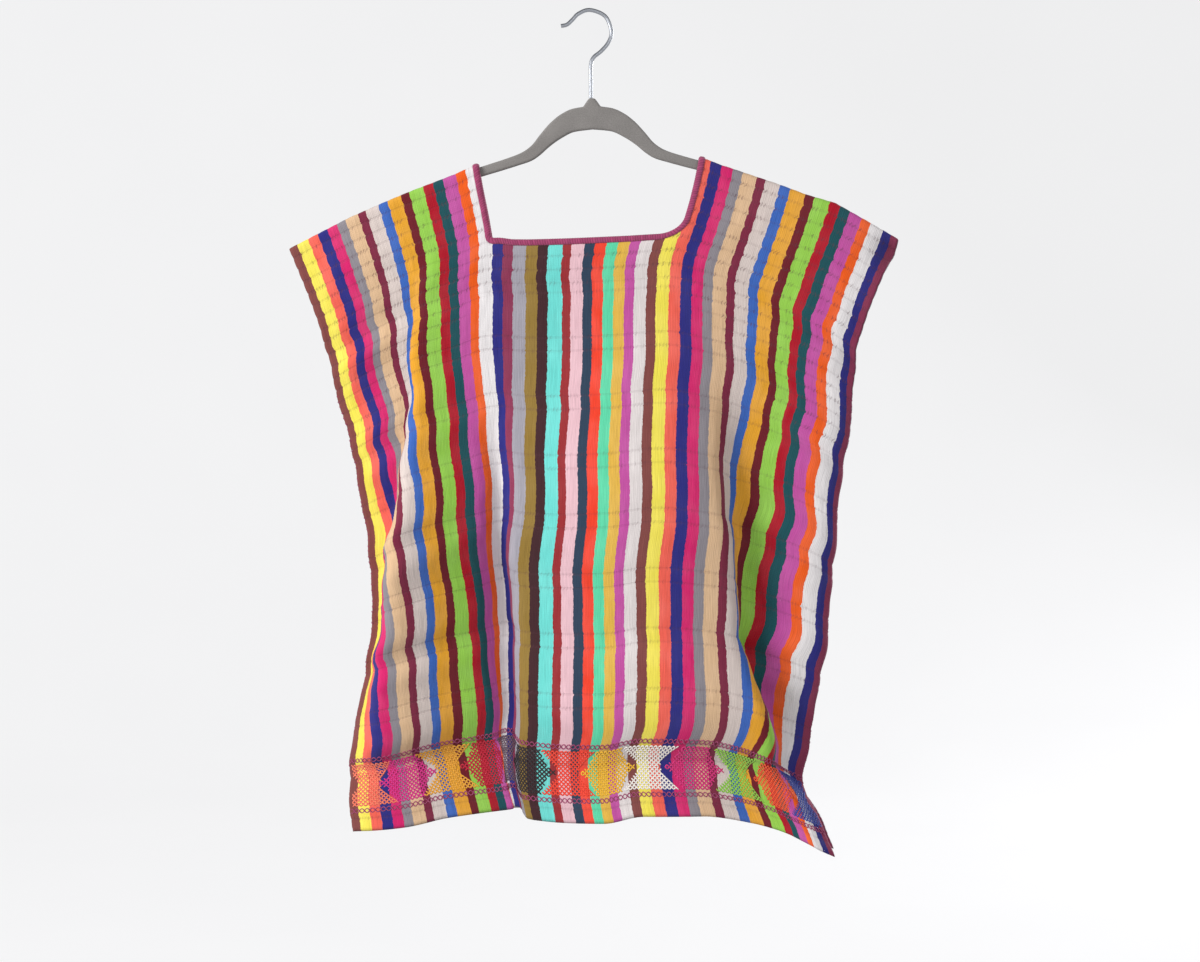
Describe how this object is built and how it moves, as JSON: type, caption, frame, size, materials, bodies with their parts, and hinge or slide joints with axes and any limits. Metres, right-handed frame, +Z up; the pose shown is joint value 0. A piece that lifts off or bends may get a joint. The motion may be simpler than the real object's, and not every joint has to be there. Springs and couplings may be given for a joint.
{
  "type": "huipil blouse on hanger",
  "caption": "Sleeveless hand-woven blouse with warp stripes, a brocade band above the hem and a bound square neck, hung on a slim flocked hanger with a wire hook.",
  "frame": {"origin": "under the crown of the hook, where a rail carries it", "axes": "+Z up, +Y towards the garment's back, +X to the right as seen from the front"},
  "size_m": [0.6077, 0.1023, 0.8424],
  "materials": {
    "cloth": "warp-faced cotton in upright stripes of many colours, matt",
    "binding": "berry cotton binding, matt",
    "flock": "grey velvet flock",
    "wire": "polished"
  },
  "bodies": {
    "root": {"front_cloth": "cloth", "back_cloth": "cloth", "neck_binding": "binding", "hanger_body": "flock", "hanger_hook": "wire"}
  },
  "joints": []
}
